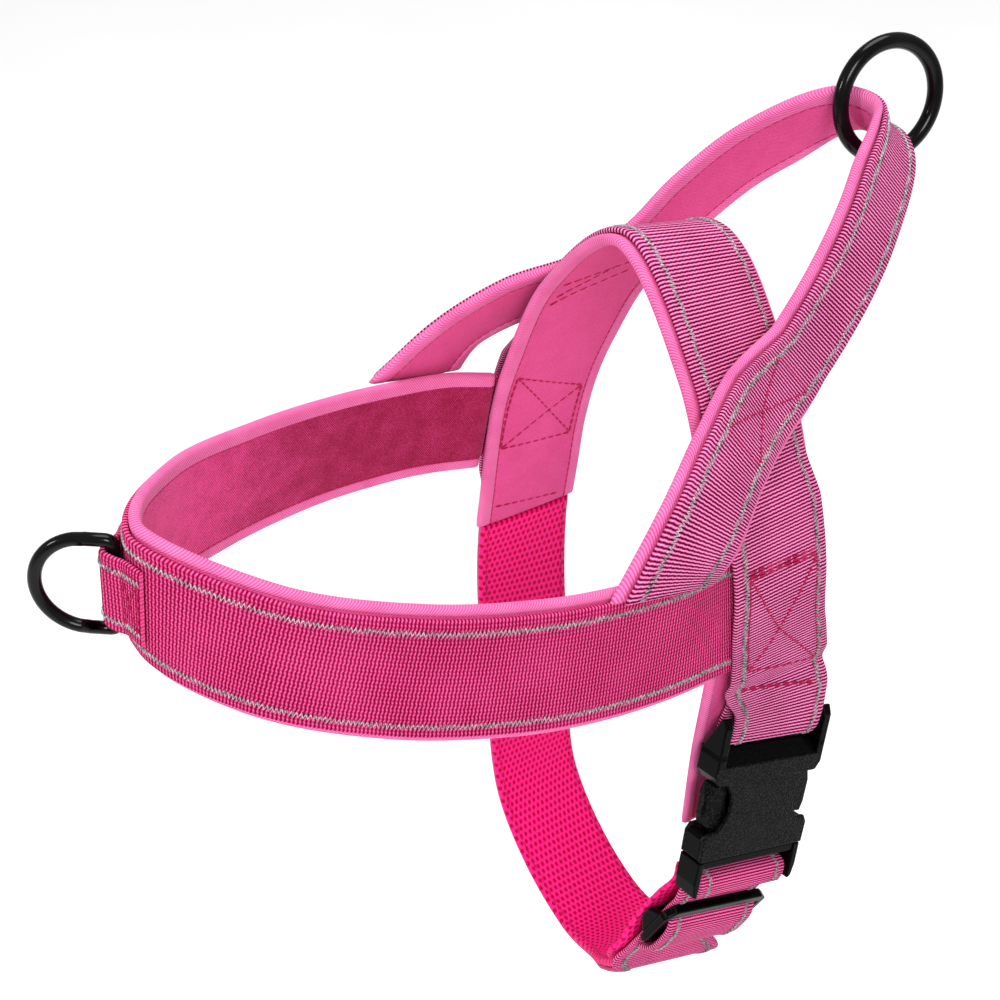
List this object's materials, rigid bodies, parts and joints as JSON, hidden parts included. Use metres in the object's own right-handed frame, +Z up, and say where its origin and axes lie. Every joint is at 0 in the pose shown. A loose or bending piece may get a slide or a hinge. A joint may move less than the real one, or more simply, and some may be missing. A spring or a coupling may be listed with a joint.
{
  "type": "no pull dog harness",
  "caption": "Padded no-pull dog harness with chest band, saddle, carry handle with lead ring, front ring, and side-release belly strap.",
  "frame": {"origin": "the top of the saddle pad's inner face, where it rests on the dog's back", "axes": "+Z up, -Y the way the dog faces, +X the dog's left, where the buckle is"},
  "size_m": [0.1595, 0.3041, 0.357],
  "materials": {
    "webbing": "pink woven webbing",
    "liner": "pink padded knit",
    "binding": "light pink binding tape",
    "mesh": "deep pink air mesh",
    "steel": "gloss black steel",
    "plastic": "black moulded plastic"
  },
  "bodies": {
    "harness": {"saddle_webbing": "webbing", "saddle_liner": "liner", "saddle_binding_front": "binding", "saddle_binding_rear": "binding", "chest_webbing": "webbing", "chest_liner": "liner", "chest_binding_lower": "binding", "chest_binding_upper": "binding", "handle_webbing": "webbing", "handle_liner": "liner", "handle_binding_upper": "binding", "handle_binding_lower": "binding", "front_ring_tab": "webbing", "buckle_socket": "plastic", "belly_mesh_anchor": "mesh"},
    "lead_ring_body": {"lead_ring": "steel"},
    "front_ring_body": {"front_ring": "steel"},
    "belly_strap": {"belly_webbing": "webbing", "belly_mesh_pad": "mesh", "buckle_plug": "plastic"},
    "latch_front": {"latch_arm_front": "plastic"},
    "latch_rear": {"latch_arm_rear": "plastic"},
    "slider_body": {"slider": "plastic"}
  },
  "joints": [
    {"name": "lead_ring_tilt", "type": "hinge", "parent": "harness", "child": "lead_ring_body", "pos_m": [0, 0.0775, 0.01909], "axis": [0, 0.6606, -0.7507], "range_deg": [-28, 28]},
    {"name": "front_ring_swing", "type": "hinge", "parent": "harness", "child": "front_ring_body", "pos_m": [-0.00539, -0.18091, -0.05094], "axis": [-0.0096, 0.1114, 0.9937], "range_deg": [-42, 108]},
    {"name": "belly_strap_swing", "type": "hinge", "parent": "harness", "child": "belly_strap", "pos_m": [-0.06496, -0.00741, -0.21265], "axis": [0.08, 0.9296, -0.3598], "range_deg": [0, 60]},
    {"name": "latch_rear_flex", "type": "hinge", "parent": "belly_strap", "child": "latch_rear", "pos_m": [0.08019, -0.00745, -0.18616], "axis": [0.973, 0.0056, 0.2307], "range_deg": [0, 6], "stiffness_Nm_per_rad": 0.2},
    {"name": "latch_front_flex", "type": "hinge", "parent": "belly_strap", "child": "latch_front", "pos_m": [0.07855, -0.02916, -0.17876], "axis": [0.973, 0.0056, 0.2307], "range_deg": [-6, 0], "stiffness_Nm_per_rad": 0.2},
    {"name": "slider_travel", "type": "slide", "parent": "belly_strap", "child": "slider_body", "axis": [-0.3001, -0.3001, -0.9054], "range_m": [0, 0.008]}
  ],
  "couplings": [
    {"joint": "latch_front_flex", "follows": "latch_rear_flex", "ratio": -1}
  ]
}
